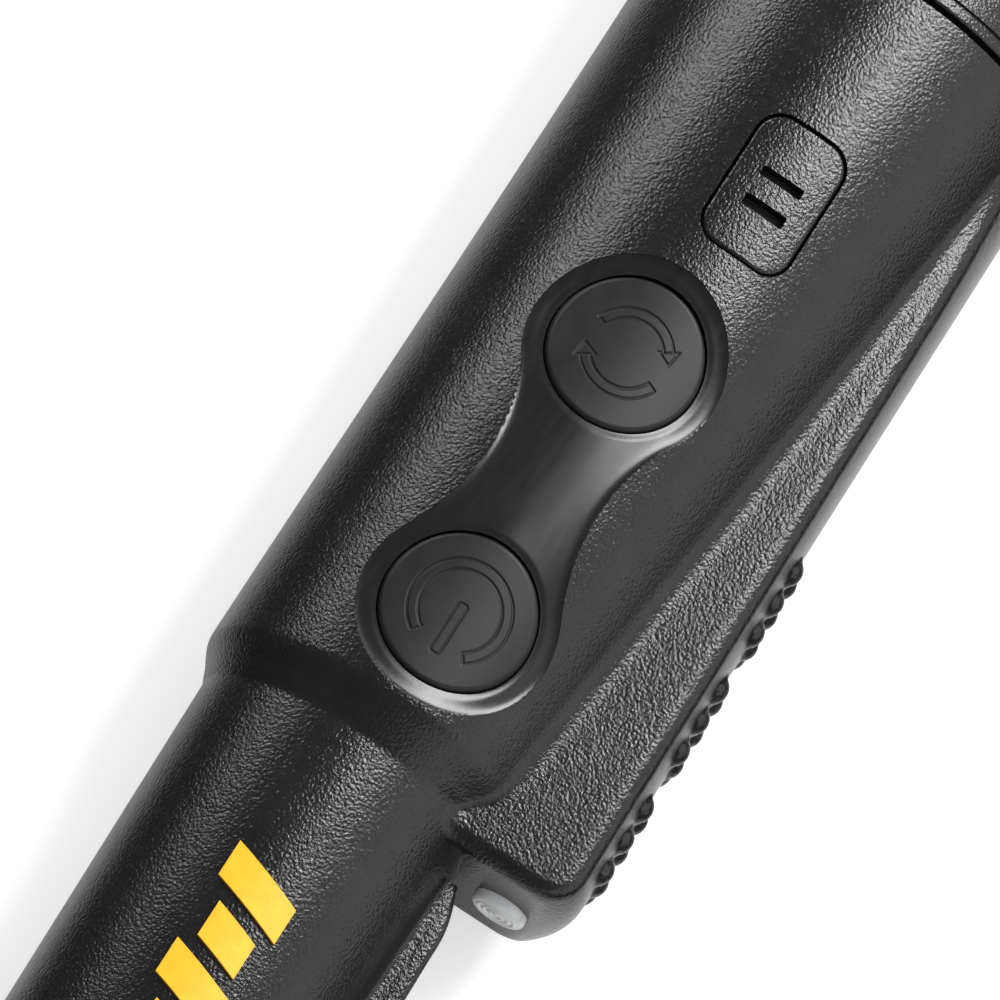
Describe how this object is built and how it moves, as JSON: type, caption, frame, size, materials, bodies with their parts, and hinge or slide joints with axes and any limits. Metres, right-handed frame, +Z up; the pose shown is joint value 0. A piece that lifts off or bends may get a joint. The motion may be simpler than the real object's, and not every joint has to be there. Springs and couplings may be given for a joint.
{
  "type": "pinpointer probe",
  "caption": "Handheld metal-detecting pinpointer: thick two-button grip with a speaker cover, LED and screw-on battery cap, and a slim probe with a scraping rib.",
  "frame": {"origin": "centre of the battery cap's end face, on the handle's axis", "axes": "+X along the handle to the probe's tip, +Y to the finger-grip keel, +Z up through the buttons"},
  "size_m": [0.232, 0.0414, 0.0412],
  "materials": {
    "body_plastic": "fine leather-grain texture",
    "bezel_plastic": "smooth satin",
    "key_rubber": "matte",
    "mark_paint": "raised print",
    "clear_lens": "clear",
    "seal_rubber": "soft",
    "foam": "open-cell foam",
    "inner_plastic": "moulded",
    "natural_plastic": "moulded",
    "circuit_board": "solder mask",
    "chip": "moulded epoxy",
    "steel": "plated",
    "battery_jacket": "printed metal jacket",
    "ferrite": "sintered",
    "copper": "enamelled wire",
    "cable": "wire insulation",
    "fabric_mesh": "fine woven mesh"
  },
  "bodies": {
    "housing": {"upper_shell": "body_plastic", "lower_shell": "body_plastic", "button_bezel": "bezel_plastic", "speaker_cover": "body_plastic", "speaker_mesh": "fabric_mesh", "depth_marks": "mark_paint", "keypad_seal": "seal_rubber", "power_switch_base": "natural_plastic", "retune_switch_base": "natural_plastic", "battery_sleeve": "inner_plastic", "battery_case": "battery_jacket", "battery_terminals": "steel", "contact_board": "circuit_board", "contact_snaps": "steel", "main_pcb": "circuit_board", "pcb_screws": "steel", "microcontroller": "chip", "pcb_capacitors": "battery_jacket", "pcb_chips": "chip", "pcb_passives": "natural_plastic", "speaker_frame": "inner_plastic", "speaker_diaphragm": "chip", "speaker_magnet": "steel", "motor_can": "steel", "ferrite_rod": "ferrite", "coil_bobbin": "natural_plastic", "transmit_winding": "copper", "receive_winding": "copper", "led": "clear_lens", "led_holder": "inner_plastic", "led_lens": "clear_lens", "battery_leads": "cable", "speaker_leads": "cable", "coil_leads": "cable", "motor_leads": "cable", "led_leads": "cable"},
    "power_key": {"power_button": "key_rubber", "power_switch_plunger": "chip"},
    "retune_key": {"retune_button": "key_rubber", "retune_switch_plunger": "chip"},
    "cap_carrier": {"cap_o_ring": "seal_rubber"},
    "cap": {"battery_cap": "body_plastic", "cap_pad": "foam"},
    "motor_rotor": {"motor_shaft": "steel", "motor_weight": "steel"}
  },
  "joints": [
    {"name": "power_press", "type": "slide", "parent": "housing", "child": "power_key", "axis": [0, 0, -1], "range_m": [0, 0.0006]},
    {"name": "retune_press", "type": "slide", "parent": "housing", "child": "retune_key", "axis": [0, 0, -1], "range_m": [0, 0.0006]},
    {"name": "cap_travel", "type": "slide", "parent": "housing", "child": "cap_carrier", "axis": [-1, 0, 0], "range_m": [0, 0.0045]},
    {"name": "cap_turn", "type": "hinge", "parent": "cap_carrier", "child": "cap", "pos_m": [0.012, 0, 0], "axis": [-1, 0, 0], "range_deg": [0, 540]},
    {"name": "motor_spin", "type": "hinge", "parent": "housing", "child": "motor_rotor", "pos_m": [0.08, 0.0129, 0], "axis": [1, 0, 0], "continuous": true}
  ],
  "couplings": [
    {"joint": "cap_travel", "follows": "cap_turn", "m_per_rad": 0.00047746}
  ]
}
